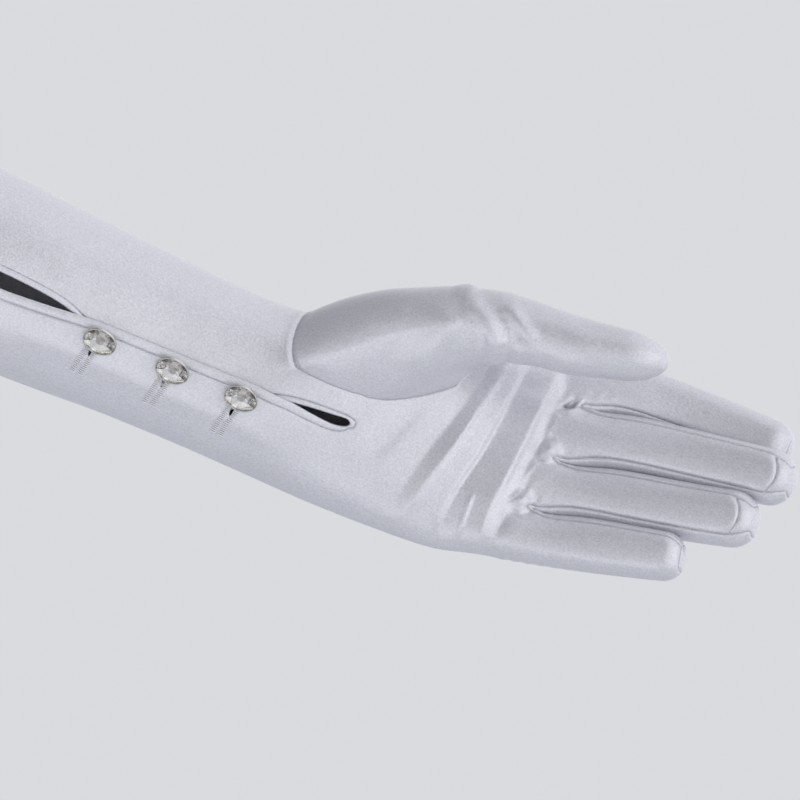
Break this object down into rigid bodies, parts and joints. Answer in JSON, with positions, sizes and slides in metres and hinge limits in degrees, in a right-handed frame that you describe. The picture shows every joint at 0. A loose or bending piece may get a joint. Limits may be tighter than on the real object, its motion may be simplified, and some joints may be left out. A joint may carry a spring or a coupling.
{
  "type": "long satin dress glove",
  "caption": "Elbow-length satin dress glove, left hand, with thumb, side strips between the fingers and a bound wrist opening closed by shank buttons set with round stones.",
  "frame": {"origin": "centre of the cuff opening, where the arm goes in", "axes": "+X along the sleeve from the cuff to the fingertips, +Z to the thumb side, the palm faces -Y"},
  "size_m": [0.4589, 0.0789, 0.1054],
  "materials": {
    "satin": "cool white satin with a soft sheen",
    "setting": "dark silver, polished",
    "stone": "clear cut glass"
  },
  "bodies": {
    "root": {"trank": "satin", "thumb": "satin", "fourchette_index_middle": "satin", "fourchette_middle_ring": "satin", "fourchette_ring_little": "satin", "slit_binding": "satin", "button_1": "setting", "button_2": "setting", "button_3": "setting", "stone_1": "stone", "stone_2": "stone", "stone_3": "stone"}
  },
  "joints": []
}
